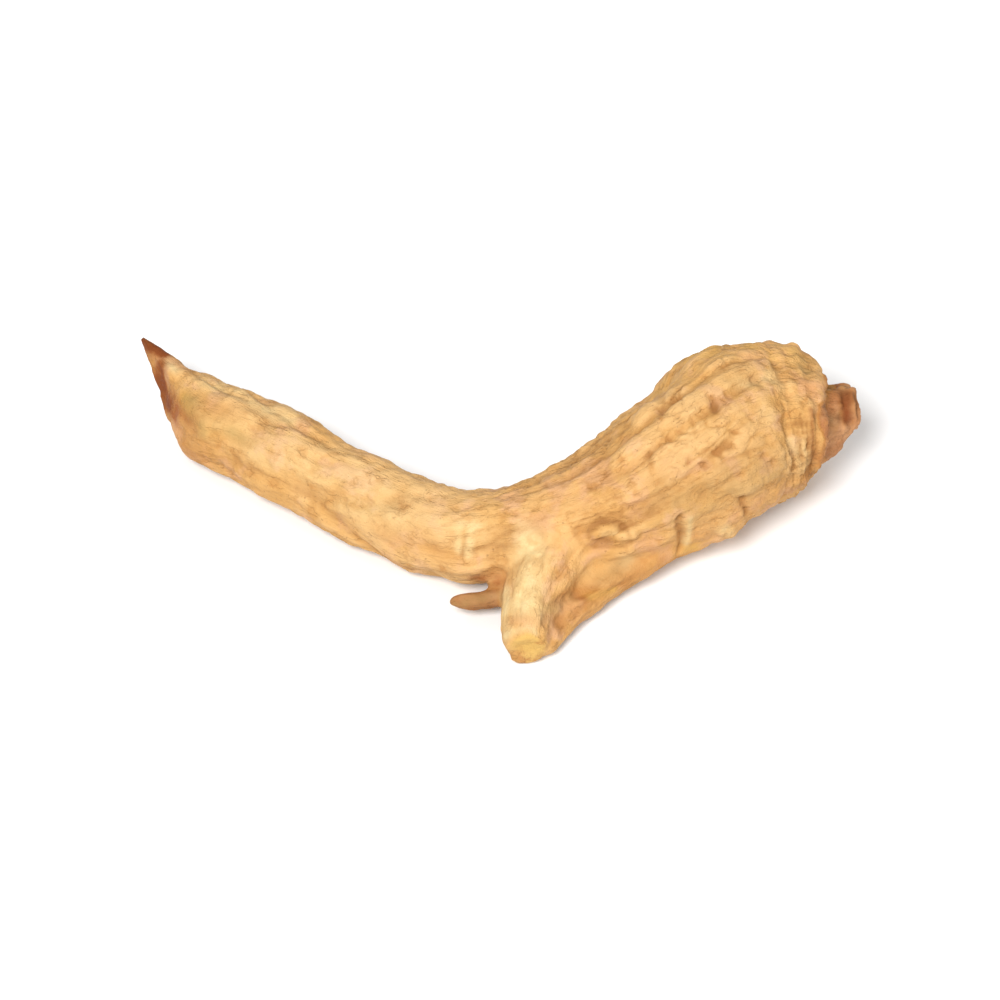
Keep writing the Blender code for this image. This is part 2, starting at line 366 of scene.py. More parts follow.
fineRelief = {
    # shares: how much of a form the legs and the body have. wander: how far, size, seed
    "bumps": {
        "bodyPlump": {"height": 0.1, "size": (0.8, 0.52), "seed": 30, "shares": (0, 1)},
        "bodyCrumple": {"height": 0.08, "size": (0.46, 0.34), "seed": 34, "shares": (0, 1)},
        "legPlump": {"height": 0.09, "size": (2.2, 0.4), "seed": 29, "shares": (1, 0)},
        "legCrumple": {"height": 0.05, "size": (0.85, 0.26), "seed": 28, "shares": (1, 0)},
    },
    "cuts": {
        "bodyNet": {"depth": 0.13, "size": (2.4, 1.5), "line": 0.12, "seed": 40,
                    "shares": (0, 1), "wander": (0.6, 1.7, 40),
                    "breaks": (1.1, 49, 0.35, 1.0, 0.0, 1.0)},
        "legNet": {"depth": 0.15, "size": (6.4, 1.1), "line": 0.14, "seed": 44,
                   "shares": (1, 0.4), "wander": (0.7, 1.7, 44),
                   "breaks": (2.4, 53, 0.35, 1.0, 0.0, 1.0)},
        "wrinkles": {"depth": 0.15, "size": (2.4, 0.3), "share": 0.34, "seed": 31,
                     "shares": (1, 0.65)},
        "hairlines": {"depth": 0.05, "size": (0.9, 0.16), "share": 0.45, "seed": 32,
                      "shares": (1, 1)},
        "across": {"depth": 0.11, "size": (0.26, 0.9), "share": 0.3, "seed": 33,
                   "shares": (0.12, 1), "offPatches": 1.4, "least": 0.2},
        "dashes": {"depth": 0.2, "apart": 2.1, "size": (0.2, 0.62), "share": 0.4,
                   "seed": 36, "shares": (0.4, 1)},
    },
    "pebble": {"height": 0.045, "size": (0.24, 0.2), "seed": 39},
    "patches": ((4.5, 3.5, 3.5), 35, 0.75, 0.5, 0.2, 1.3),
    "wander": (0.35, 2.6, 38), "wanderWays": (0, 1, 0.6),  # wanderWays is its direction
    "fineRings": {"depth": 0.11, "spacing": 0.74, "wobble": (0.9, 3.1, 37), "starts": (0.6, 1.4),
                  "ends": (3.5, 9.5), "breaks": (1.9, 38, 0.5, 0.9, 0.0, 1.0)},
    "bodyEnds": (22.0, 38.0),  # mm along, where body skin becomes leg skin
    "otherLimbs": 0.45,        # how far the other limbs' skin is like the body's
    "fullFurrow": 0.4,        # mm, as deep as a fully brown furrow is
}


def fineReliefOf(straight, onBody):
    # Bumps less cuts, each in its share on body and legs, and the crown end's fine rings,
    # ((1 - cos) / 2)^2. With the height, how deep in a furrow each point is, 0 to 1.
    look, cuts, rings = fineRelief, fineRelief["cuts"], fineRelief["fineRings"]
    along = straight[:, 0]
    body = 1 - ease(along, *look["bodyEnds"]) if onBody else look["otherLimbs"]
    patchy = uneven(straight, *look["patches"])
    bent = straight + ripple(straight, *look["wander"])[:, None] * look["wanderWays"]
    offPatches = np.clip(cuts["across"]["offPatches"] - patchy, cuts["across"]["least"], 1)
    grooves = {
        "bodyNet": netLines(straight, cuts["bodyNet"]) * patchy,
        "legNet": netLines(straight, cuts["legNet"]),
        "wrinkles": valleys(bent, cuts["wrinkles"]) * patchy,
        "hairlines": valleys(bent, cuts["hairlines"]),
        "across": valleys(straight, cuts["across"]) * offPatches,
        "dashes": scattered(straight, cuts["dashes"]),
    }

    def shareOf(form):
        onLeg, onBody = form["shares"]
        return onLeg + (onBody - onLeg) * body

    height = look["pebble"]["height"] * pattern(straight, look["pebble"])
    for bump in look["bumps"].values():
        height += bump["height"] * shareOf(bump) * pattern(bent, bump)
    furrow = sum(cuts[name]["depth"] * shareOf(cuts[name]) * cut for name, cut in grooves.items())
    if onBody:
        turn = 2 * math.pi * (along + ripple(straight, *rings["wobble"])) / rings["spacing"]
        zone = ease(along, *rings["starts"]) * (1 - ease(along, *rings["ends"]))
        zone *= uneven(straight, *rings["breaks"])
        furrow += rings["depth"] * ((1 - np.cos(turn)) / 2) ** 2 * zone
    return height - furrow, furrow / look["fullFurrow"]


# ---- single marks at their places on the skin, x, y, z in millimetres

marks = {
    "swells": [
        # where the root is fuller or leaner than its limbs: place, reach, height in mm
        ((19.6, -4.6, 4.6), 1.8, 0.6), ((29.1, 8.8, 10.2), 0.9, -0.7), ((13.5, 5.0, 12.6), 3.0, -1.15),
        ((10.0, 3.0, 10.4), 2.2, -0.35), ((24.7, 11.0, 12.0), 3.2, 0.5), ((0.5, -1.8, 7.4), 2.2, -0.35),
        ((-5.5, -0.9, 6.6), 2.2, 0.3), ((-10.2, 2.2, 6.4), 3.0, 0.4), ((-20.1, 10.8, 6.0), 2.5, -0.3),
        ((-27.8, 8.6, 2.5), 2.4, 0.5), ((-22.0, 4.0, 1.6), 3.5, 0.4), ((-11.3, -4.3, 1.9), 3.0, -0.3),
        ((-5.8, -7.6, 2.2), 2.2, -0.8), ((6.7, -13.4, 0.6), 3.0, -0.6), ((10.4, -9.6, 1.2), 2.5, -0.3),
        ((14.9, -5.2, 1.4), 2.0, -0.3), ((23.4, -1.0, 3.6), 2.2, -0.4), ((29.3, 5.2, 4.4), 1.6, -0.7),
        ((31.3, 5.5, 7.2), 1.2, -0.3), ((31.6, 7.6, 8.0), 0.9, 0.2), ((-30.3, 14.4, 4.6), 1.5, 0.3),
        ((-28.8, 15.8, 6.1), 1.5, 0.3), ((31.1, 8.2, 10.2), 0.9, -0.35), ((0.7, -16.6, 1.5), 1.2, -0.4),
        ((13.2, 6.8, 10.8), 2.4, -0.3), ((26.5, 10.8, 11.9), 1.4, 0.24), ((25.4, 1.3, 2.8), 2.0, -0.25),
        ((-11.4, 2.9, 6.7), 2.5, 0.22), ((12.9, -6.8, 1.2), 2.0, -0.22),
    ],
    "lines": [
        # places that a groove or a ridge joins, its width and height in mm, how brown it is
        ([(15.8, -6.3, 8.4), (15.8, -6.4, 6.6), (15.9, -6.2, 3.6)], 0.32, -0.55, 1.0),
        ([(12.8, -3.2, 12.6), (13.6, -4.9, 11.9), (14.4, -5.7, 9.9),
          (15.3, -6.5, 8.5)], 0.3, -0.24, 0.6),
        ([(16.6, -6.0, 8.1), (16.6, -6.1, 6.3), (16.5, -5.9, 4.6)], 0.34, 0.2, 0.0),
        ([(17.3, -5.8, 7.6), (17.2, -5.7, 5.3), (17.0, -5.6, 4.0)], 0.28, -0.22, 0.4),
        ([(17.8, -5.7, 7.4), (18.6, -4.9, 5.2)], 0.48, -0.36, 0.9),
        ([(25.4, 0.7, 11.7), (25.6, 0.0, 10.5), (25.7, -0.5, 8.4)], 0.28, -0.18, 0.55),
        ([(26.1, 1.1, 11.1), (26.5, 0.5, 10.0), (26.8, 0.1, 8.4)], 0.28, -0.18, 0.55),
        ([(27.0, 1.3, 10.8), (27.3, 0.5, 9.4), (27.3, 0.2, 7.6)], 0.26, -0.14, 0.4),
        ([(28.9, 9.6, 9.8), (28.9, 8.2, 10.6), (28.6, 6.2, 11.4), (28.1, 2.7, 11.6),
          (27.9, 1.3, 10.1), (28.0, 0.8, 8.5), (27.9, 0.6, 6.6), (27.9, 2.0, 3.2)], 0.4, -0.36, 0.7),
        ([(25.2, 0.9, 12.2), (26.3, 1.5, 11.6), (27.7, 2.0, 11.3)], 0.36, -0.3, 0.65),
        ([(18.7, 1.3, 15.2), (18.8, 0.2, 14.7)], 0.4, -0.32, 0.9),
        ([(22.0, -2.4, 11.8), (22.8, -2.2, 11.3), (23.5, -1.8, 11.1)], 0.28, -0.22, 0.5),
        ([(16.6, -4.1, 12.6), (17.7, -3.6, 12.9), (18.6, -3.2, 12.5), (19.5, -2.6, 12.7),
          (20.4, -2.4, 12.8)], 0.34, -0.24, 0.55),
        ([(17.9, -4.0, 12.0), (18.7, -3.7, 12.1)], 0.3, -0.22, 0.6),
        ([(19.1, -4.5, 9.8), (19.9, -4.2, 10.3), (21.0, -3.8, 10.5)], 0.3, -0.24, 0.5),
        ([(21.2, -3.8, 8.1), (21.3, -4.0, 7.2), (21.6, -3.6, 5.7)], 0.3, -0.26, 0.6),
        ([(3.9, -15.4, 3.9), (4.1, -14.1, 4.0), (4.7, -13.2, 4.1),
          (6.0, -11.8, 3.8)], 0.38, -0.26, 0.8),
        ([(6.6, -11.2, 3.2), (7.6, -10.9, 3.1), (9.0, -10.3, 3.2)], 0.4, -0.25, 0.6),
        ([(5.2, -13.9, 2.8), (5.7, -14.6, 2.1)], 0.45, -0.3, 0.9),
        ([(30.6, 6.7, 9.7), (30.9, 5.9, 9.0), (30.9, 5.2, 8.4)], 0.42, -0.48, 1.0),
        ([(31.3, 7.8, 9.6), (31.6, 6.6, 8.6), (31.3, 5.4, 7.3)], 0.42, 0.3, 0.0),
        ([(-3.3, -7.0, 7.8), (-3.2, -8.3, 6.2)], 0.36, 0.13, 0.0),
        ([(-2.4, -7.1, 7.7), (-2.4, -8.3, 5.7)], 0.36, 0.13, 0.0),
        ([(8.1, -8.0, 7.5), (8.8, -7.7, 8.1), (9.9, -7.3, 8.4), (10.9, -7.1, 7.9)], 0.34, -0.14, 0.35),
        ([(8.6, -8.2, 6.5), (9.6, -8.1, 6.2), (10.7, -7.9, 6.2), (11.5, -7.6, 6.6)], 0.34, -0.14, 0.35),
        ([(10.3, -7.8, 7.4), (11.7, -7.6, 7.2)], 0.55, 0.32, 0.0),
        ([(11.0, -7.2, 7.6)], 0.4, 0.3, 0.0),
        ([(7.8, -9.0, 3.9), (8.5, -8.6, 4.1), (9.8, -8.1, 4.9), (11.4, -7.9, 5.6)], 0.9, 0.34, 0.0),
        ([(5.9, -13.7, 2.3), (7.4, -12.1, 2.6), (9.2, -10.6, 2.7),
          (10.9, -9.1, 2.8)], 0.34, -0.2, 0.5),
        ([(9.0, -9.2, 3.8), (11.1, -8.2, 4.0), (13.1, -7.4, 4.2)], 0.4, -0.14, 0.35),
        ([(7.2, -10.6, 3.9), (7.9, -10.9, 2.9), (8.6, -11.2, 2.0)], 0.34, -0.14, 0.4),
        ([(10.4, -8.6, 4.2), (10.9, -9.0, 3.3), (11.6, -8.9, 2.2)], 0.34, -0.14, 0.4),
        ([(-2.9, -7.6, 7.2), (-3.2, -8.6, 5.6)], 0.26, -0.2, 0.8),
        ([(-20.5, 5.6, 7.2), (-18.6, 3.9, 7.5), (-16.6, 2.5, 7.3),
          (-14.6, 1.0, 7.1)], 0.4, -0.22, 0.35),
        ([(-12.4, -1.1, 7.0), (-9.1, -3.7, 7.1), (-5.8, -6.3, 7.7)], 0.45, -0.12, 0.15),
        ([(-24.5, 7.9, 7.5), (-21.6, 6.5, 7.5), (-19.0, 5.7, 7.6)], 0.4, -0.22, 0.35),
        ([(-23.0, 4.4, 4.4), (-19.0, 1.4, 4.6), (-14.6, -1.7, 4.5), (-10.2, -5.5, 5.7),
          (-5.8, -8.2, 5.9)], 0.45, -0.2, 0.35),
    ],
    "lineBend": (0.16, 0.55, 51),  # how far, size, seed
    "lineDepth": (0.7, 50, 0.85, 0.35, 0.3, 1.2),
    "lineStain": 1.3,                        # how much wider its brown is than a line
    "throughSkin": 1.0, "offSkin": 2.0,  # mm off the skin that are free, weight of the rest
    "spots": [
        # kind, place, length and width in mm, height or depth in mm
        ("eye", (9.6, -7.8, 7.6), (1.7, 0.95), 0.12), ("pit", (21.0, 12.6, 7.8), (0.9, 0.7), 0.3),
        ("pit", (-6.5, -0.6, 4.8), (0.7, 0.5), 0.25), ("pit", (4.0, 0.6, 6.2), (0.8, 0.6), 0.28),
        ("nub", (12.0, 6.6, 5.8), (0.6, 0.6), 0.4), ("nub", (-19.0, 9.6, 5.0), (0.6, 0.5), 0.35),
        ("nub", (5.0, -13.2, 3.4), (0.8, 0.6), 0.18),
    ],
    "spotRings": {
        # of each kind: height, brown, distance from the middle, width and power of its rings
        "pit": [(0.4, 0.0, 1.0, 0.35, 2), (-1.0, 0.7, 0.0, 0.6, 2)],
        "nub": [(1.0, 0.0, 0.0, 1.0, 4), (0.0, 0.5, 1.15, 0.25, 2)],
        "eye": [(1.0, 0.0, 0.0, math.sqrt(0.5), 2), (-1.0, 0.6, 1.0, 0.2, 2),
                (-0.6, 0.36, 1.6, 0.2, 2)],
    },
    "spotBend": (0.2, 0.8, 71),
    "flats": [
        # a broken or pared face: a point on it, the way it faces and in mm how wide the change
        # of skin at its edge is, how round the edge and how uneven the face
        ("tipFace", (-28.9, 10.9, 5.6), (-0.86, -0.42, 0.29), 0.7, 0.05, 0.25),
        ("shortEnd", (2.4, -17.15, 1.9), (0.02, -0.96, -0.28), 1.0, 0.9, 0.42),
    ],
    "flatWaves": (0.9, 63),  # size and seed of a face's unevenness
    "flatFibres": (0.14, (1.2, 1.2, 0.35), 61), "flatGrit": (0.07, 0.3, 62),
    "crownEnd": {
        "depth": 0.6, "radius": 1.5, "reach": 3.0,  # of its hollow, in mm
        "within": (-0.9, -0.1),                     # mm before the end, where it starts
        "edge": (0.25, 0.7, 65), "floor": (0.5, 0.4, 66),
        "facing": (0.983, -0.168, 0.071), "brownFrom": (27.6, 28.4), "brownEdge": (0.35, 0.6, 67),
        "brown": 0.8, "paleHollow": 0.3,
    },
    "rootletBrown": {"from": (-1.2, 0.2), "brown": 0.85},
    "stainAndPaintedLightBend": (0.3, 0.8, 81),
}
stainsAndPaintedLight = {
    # of each tint: places along the mark's middle, half its width in mm, strength. Most rows are
    # stains; the rows marked below paint shade, shadow or light into the colour
    "rust": [
        # painted shadow along the leg's lower left edge near the tip, as if cast by a root lying beside
        # it, over the broken end's own brown
        ([(-27.4, 7.7, 5.5), (-28.0, 7.7, 3.4), (-26.5, 6.5, 4.8)], 1.7, 0.7),
        ([(28.7, 5.9, 12.1), (30.1, 8.3, 10.2)], 0.8, 0.5),
        ([(31.2, 7.2, 10.0), (31.4, 6.2, 9.2)], 0.6, 0.5),
        ([(27.9, 1.6, 9.0), (28.0, 1.4, 7.4)], 0.7, 0.8),
        ([(27.5, 2.7, 12.2), (27.5, 1.9, 11.2), (27.5, 1.2, 9.9), (27.6, 1.3, 8.1)], 0.6, 0.45),
        ([(20.6, 4.4, 15.4), (22.4, 5.0, 15.1)], 0.9, 0.25),
        ([(27.0, 5.5, 13.2), (27.9, 5.0, 12.7)], 0.9, 0.45),
        ([(19.1, -2.9, 12.7), (18.4, -3.3, 12.8)], 0.6, 0.5), ([(22.1, -3.4, 9.8)], 0.8, 0.35),
        # painted shade: darkens the low side lobe, tinted rust
        ([(6.4, -12.4, 2.4), (9.8, -9.9, 2.8), (14.0, -7.1, 3.6)], 2.2, 0.65),
        # the crease's own brown and painted shade in it, between the short leg and the lobe
        ([(5.4, -12.1, 4.1), (6.7, -10.9, 3.2), (8.1, -10.6, 3.0)], 0.8, 1.1),
        ([(10.7, -9.2, 2.8), (12.0, -8.4, 3.1)], 0.8, 0.9), ([(2.1, -16.8, 2.4)], 0.6, 0.5),
        # painted shade on the body's lower front side, tinted rust
        ([(14.0, -7.1, 4.8), (17.3, -5.7, 5.6), (21.0, -4.3, 6.0), (24.1, -2.0, 7.2),
          (26.3, -0.1, 7.6)], 2.4, 0.46),
        ([(13.6, -4.9, 11.5), (17.5, -4.9, 10.8), (21.0, -3.6, 10.8), (23.5, -2.0, 10.9)], 2.6, 0.3),
        ([(-10.2, -5.7, 5.6), (-6.9, -7.4, 6.0), (-3.2, -8.3, 5.7)], 1.2, 0.42),
        ([(-6.2, -4.7, 8.0), (-3.6, -5.8, 8.2)], 1.0, 0.2),
        ([(-25.8, 8.7, 7.3), (-23.4, 7.5, 7.5)], 1.0, 0.55),
        ([(-25.6, 6.4, 5.9), (-23.0, 5.7, 6.5)], 1.1, 0.5),
        # golden-brown inner part of the painted shadow band near the tip, with the broken end's own
        # brown
        ([(-27.9, 9.5, 6.5), (-27.5, 8.1, 6.0)], 1.0, 1.3),
        ([(11.4, -8.5, 3.3), (12.6, -8.0, 3.5)], 0.6, 0.6),
        ([(5.0, -13.9, 3.2), (6.8, -11.4, 3.0)], 0.9, 0.5),
        # painted shadow where the long leg meets the short leg
        ([(-0.4, -9.0, 4.2), (0.7, -11.0, 4.2)], 0.9, 0.55),
    ],
    "russet": [
        # painted shadow along the long leg's left edge towards the tip, as if cast by a root lying
        # beside it, with the broken end's own dark brown
        ([(-31.6, 17.4, 6.8), (-30.9, 16.2, 6.4)], 1.0, 1.0),
        ([(-30.5, 14.8, 5.7), (-30.3, 14.0, 4.9), (-30.0, 13.0, 4.4), (-29.4, 11.4, 4.6),
          (-28.7, 9.9, 5.0)], 1.0, 1.5),
        ([(-28.7, 9.9, 5.0), (-27.9, 8.8, 5.8), (-27.1, 7.6, 6.0)], 0.85, 0.9),
        ([(-4.4, -11.0, 2.6), (-0.2, -11.0, 2.9)], 1.2, 0.75),
        # painted shade in the corner between the rootlet and the long leg
        ([(-1.6, -10.1, 2.9), (0.4, -9.7, 3.4)], 0.9, 0.95),
        ([(11.0, -9.1, 2.9), (12.0, -8.5, 3.5)], 0.9, 0.35),
        ([(7.9, -11.2, 3.0), (9.7, -10.0, 3.2)], 0.8, 0.3),
    ],
    "gold": [
        ([(-27.9, 10.2, 7.0), (-27.2, 8.6, 6.6)], 0.9, 0.7),
        ([(16.9, -5.7, 3.9), (19.0, -4.5, 2.8)], 0.8, 0.6),
        ([(3.1, -16.7, 2.2), (3.9, -16.9, 2.7)], 0.6, 0.6),
        ([(15.0, 7.0, 12.6), (20.0, 8.5, 14.3), (25.0, 9.5, 13.0)], 2.6, 0.5),
        ([(-26.0, 7.2, 6.2), (-23.0, 5.9, 6.6)], 1.2, 0.5),
        ([(8.1, -10.9, 3.0), (9.8, -10.1, 2.4)], 0.6, 0.8),
    ],
    "cream": [
        ([(-29.6, 14.9, 7.0), (-29.1, 13.8, 7.0)], 0.7, 0.8),
        ([(25.9, 0.8, 11.0), (26.2, 0.1, 8.8)], 0.4, 0.4),
        ([(26.7, 0.9, 10.6), (27.0, 0.3, 8.4)], 0.4, 0.4), ([(26.8, 0.2, 8.2)], 0.8, 0.5),
        ([(21.6, 3.6, 14.9), (24.0, 4.4, 14.1)], 1.2, 0.5),
        # painted light on the short leg's left side, lifting the shade on the side that faces away from
        # the lamps
        ([(0.6, -11.9, 4.2), (0.5, -14.2, 3.7), (0.9, -16.2, 3.5)], 0.9, 0.9),
        ([(-23.0, 6.6, 7.2), (-16.0, 2.2, 7.3), (-10.0, -2.4, 7.2), (-3.0, -6.9, 7.8)], 3.0, 0.18),
        ([(-21.6, 3.9, 6.1), (-17.9, 1.9, 6.8), (-14.6, -0.1, 6.9), (-12.0, -1.4, 7.2)], 1.4, 0.34),
        ([(-14.0, -2.0, 6.2), (-9.1, -4.4, 7.1)], 1.3, 0.38),
        # painted light along the long leg's top edge, lifting the shade there
        ([(-25.6, 12.4, 6.8), (-23.0, 10.2, 7.4), (-20.8, 8.4, 7.2), (-18.6, 6.9, 7.2)], 1.2, 0.55),
        ([(2.3, -8.6, 7.0), (2.3, -14.0, 5.0)], 1.6, 0.95),
        ([(1.6, -16.6, 4.0), (2.6, -16.3, 4.4), (3.3, -16.7, 4.0)], 0.55, 0.55),
        ([(-3.3, -7.0, 7.8), (-3.2, -8.2, 6.3)], 0.42, 0.7),
        ([(-2.4, -7.1, 7.7), (-2.4, -8.3, 5.8)], 0.42, 0.7),
        ([(-3.2, -6.8, 7.9), (-2.1, -6.9, 7.7)], 0.42, 0.7),
        ([(16.6, -6.0, 8.1), (16.5, -5.9, 4.6)], 0.35, 0.6), ([(19.8, -4.7, 5.2)], 0.9, 0.6),
        ([(23.0, 0.3, 13.6)], 1.0, 0.4), ([(9.2, -8.1, 7.6), (10.3, -7.7, 7.5)], 0.45, 0.5),
        ([(11.6, -8.3, 5.0)], 0.9, 0.4),
    ],
    "pink": [
        ([(-29.1, 15.1, 6.9), (-28.2, 14.4, 7.0)], 0.7, 0.8),
        ([(30.3, 4.6, 7.8), (29.6, 3.9, 6.8), (28.7, 1.6, 8.0)], 0.7, 0.35),
        ([(1.6, -15.2, 4.4), (2.4, -15.6, 4.3)], 0.7, 0.5),
        ([(5.2, -12.9, 3.4), (6.3, -12.2, 2.7)], 0.8, 0.7),
    ],
    "maroon": [
        # painted shadow along the tip's top and left edges, as if cast by a root lying beside it, with
        # the broken end's own dark brown
        ([(-32.0, 18.0, 7.0), (-30.8, 16.9, 7.1), (-30.1, 15.9, 7.1)], 0.7, 1.8),
        ([(-30.5, 14.8, 5.7), (-30.0, 13.0, 4.4), (-29.2, 11.0, 4.8)], 0.65, 1.0),
        ([(28.7, 5.2, 11.0)], 0.6, 0.6),
        # dark skin and painted shade along the inside of the stub's hollow, behind its rim
        ([(30.6, 6.7, 9.7), (30.9, 5.9, 9.0), (30.9, 5.2, 8.4)], 0.5, 1.0),
        ([(30.0, 6.3, 10.3)], 0.7, 0.4),
        ([(27.4, 2.9, 12.2), (27.4, 1.3, 10.1), (27.5, 1.3, 8.1)], 0.25, 0.5),
        # the crease's own dark brown and painted shade in it, between the short leg and the lobe
        ([(6.5, -11.1, 3.2), (7.6, -11.3, 3.0)], 0.4, 0.35),
    ],
    "olive": [
        ([(29.4, 4.9, 9.2)], 1.0, 0.25), ([(30.3, 8.3, 10.2)], 0.6, 0.3),
        ([(-27.3, 9.4, 6.9), (-26.5, 7.2, 6.3)], 1.1, 0.5),
        ([(-25.0, 6.4, 6.9), (-22.6, 5.0, 6.9)], 0.8, 0.35),
        ([(26.5, 9.1, 12.7), (27.2, 7.2, 13.0)], 0.7, 0.45),
        # painted shade on the body's lower front side, tinted olive
        ([(15.6, -5.8, 9.0), (18.6, -5.0, 9.2), (21.4, -3.8, 9.8), (24.0, -2.1, 9.6)], 2.4, 0.38),
        ([(4.6, -13.4, 3.7), (6.4, -11.6, 3.4)], 0.7, 0.4), ([(-4.0, -11.2, 2.4)], 0.6, 0.8),
        ([(-3.6, -11.3, 2.6), (-0.6, -11.2, 2.9)], 1.2, 0.5),
        # painted shade on the side lobe's crest, dimming its lit top
        ([(8.6, -9.3, 3.9), (9.6, -8.8, 3.9), (10.9, -8.1, 3.9)], 0.9, 0.32),
    ],
}


def skinGap(points, normals, places):
    # Distance over the skin to the nearest place on a line of straight pieces: what lies
    # along the skin's normal counts only beyond a millimetre.
    places = [np.array(place) for place in places]
    gaps = np.full(len(points), np.inf)
    for start, end in zip(places, places[1:] or places):
        way = end - start
        t = np.clip(((points - start) @ way) / max(way @ way, tiny), 0, 1)
        offset = points - start - t[:, None] * way
        off = (offset * normals).sum(axis=1)
        flat = np.linalg.norm(offset - off[:, None] * normals, axis=1)
        beyond = np.clip(np.abs(off) - marks["throughSkin"], 0, None)
        gaps = np.minimum(gaps, np.hypot(flat, marks["offSkin"] * beyond))
    return gaps


def swell(points):
    # height * exp(-(distance / reach)^2)
    return sum(height * np.exp(-(((points - place) ** 2).sum(axis=1) / reach**2))
               for place, reach, height in marks["swells"])


def drawLines(points, normals):
    # height * exp(-(gap / width)^2) across each line, with a depth that comes and goes.
    bent = shifted(points, *marks["lineBend"])
    depth = uneven(points, *marks["lineDepth"])
    raised, sunk, brown = np.zeros((3, len(points)))
    for places, width, height, tone in marks["lines"]:
        gap = skinGap(bent, normals, places)
        section = depth * bell(gap / width)
        raised = np.maximum(raised, max(height, 0) * section)
        sunk = np.maximum(sunk, max(-height, 0) * section)
        brown = np.maximum(brown, tone * depth * bell(gap / width / marks["lineStain"]))
    return raised - sunk, brown


def drawSpots(points):
    # A pit is a hollow inside a low rim, a nub a bump with a brown edge, an eye a bump
    # between lids. Each is a sum of rings, height * exp(-(|r - middle| / width)^power), where
    # r is the distance from the place, along x in the spot's lengths, else in its widths.
    height, furrow = np.zeros((2, len(points)))
    bent = shifted(points, *marks["spotBend"])
    for kind, place, (length, width), amount in marks["spots"]:
        r = np.linalg.norm((bent - place) / (length, width, width), axis=1)
        for up, brown, middle, breadth, power in marks["spotRings"][kind]:
            ring = np.exp(-((np.abs(r - middle) / breadth) ** power))
            height += amount * up * ring
            furrow += brown * ring
    return height, furrow


def pareFlats(points):
    # Beyond a flat's plane a point is drawn back onto it, save for a fibrous roughness: by
    # (b + sqrt(b^2 + round^2)) / 2, where b is how far beyond it is.
    bare = {}
    for name, place, facing, change, rounding, bumpy in marks["flats"]:
        facing = np.array(facing) / np.linalg.norm(facing)
        beyond = (points - place) @ facing + ripple(points, bumpy, *marks["flatWaves"])
        bare[name] = ease(beyond, -change, change)
        rough = ripple(points, *marks["flatFibres"]) + ripple(points, *marks["flatGrit"])
        beyond += rough * bare[name]
        points = points - (beyond + np.hypot(beyond, rounding))[:, None] / 2 * facing
    return points, bare


def dishCrown(points, straight, path):
    # The stub's end is hollowed: each point goes back by depth * (1 - (r/radius)^2)+, with
    # an uneven floor that the shed stem leaves.
    look = marks["crownEnd"]
    ahead = limbFrames(path)[0][-1]
    r = np.hypot(straight[:, 1], straight[:, 2]) + ripple(points, *look["edge"])
    end = path[-1, :3]
    beyond = (points - end) @ ahead
    close = np.exp(-((np.linalg.norm(points - end, axis=1) / look["reach"]) ** 4))
    inside = np.clip(1 - (r / look["radius"]) ** 2, 0, 1) * ease(beyond, *look["within"]) * close
    back = look["depth"] * inside * (1 + ripple(points, *look["floor"]))
    return points - back[:, None] * ahead, inside


def stainsAndPaintedLightOf(points, normals):
    # strength * exp(-(gap / half width)^2) of each mark, real stains and painted light and shade alike,
    # the greatest for each tint.
    bent = shifted(points, *marks["stainAndPaintedLightBend"])
    tints = {}
    for tint, rows in stainsAndPaintedLight.items():
        tints[tint] = np.zeros(len(points))
        for places, halfWidth, strength in rows:
            amount = strength * bell(skinGap(bent, normals, places) / halfWidth)
            tints[tint] = np.maximum(tints[tint], amount)
    return tints


def brownOf(points, rootletShare, dish):
    # Strong on the crown stub beyond a slanting plane, less in its hollow, and on the rootlet.
    crown, rootlet = marks["crownEnd"], marks["rootletBrown"]
    beyond = points @ np.array(crown["facing"]) + ripple(points, *crown["brownEdge"])
    onCrown = crown["brown"] * ease(beyond, *crown["brownFrom"]) - crown["paleHollow"] * dish
    onRootlet = rootlet["brown"] * rootletShare * ease(-points[:, 0], *rootlet["from"])
    return np.maximum(onCrown, onRootlet)


def blended(values, weights):
    # The limbs' values, averaged with their weights at each point.
    return np.average(np.array(values), axis=0, weights=np.array(weights))


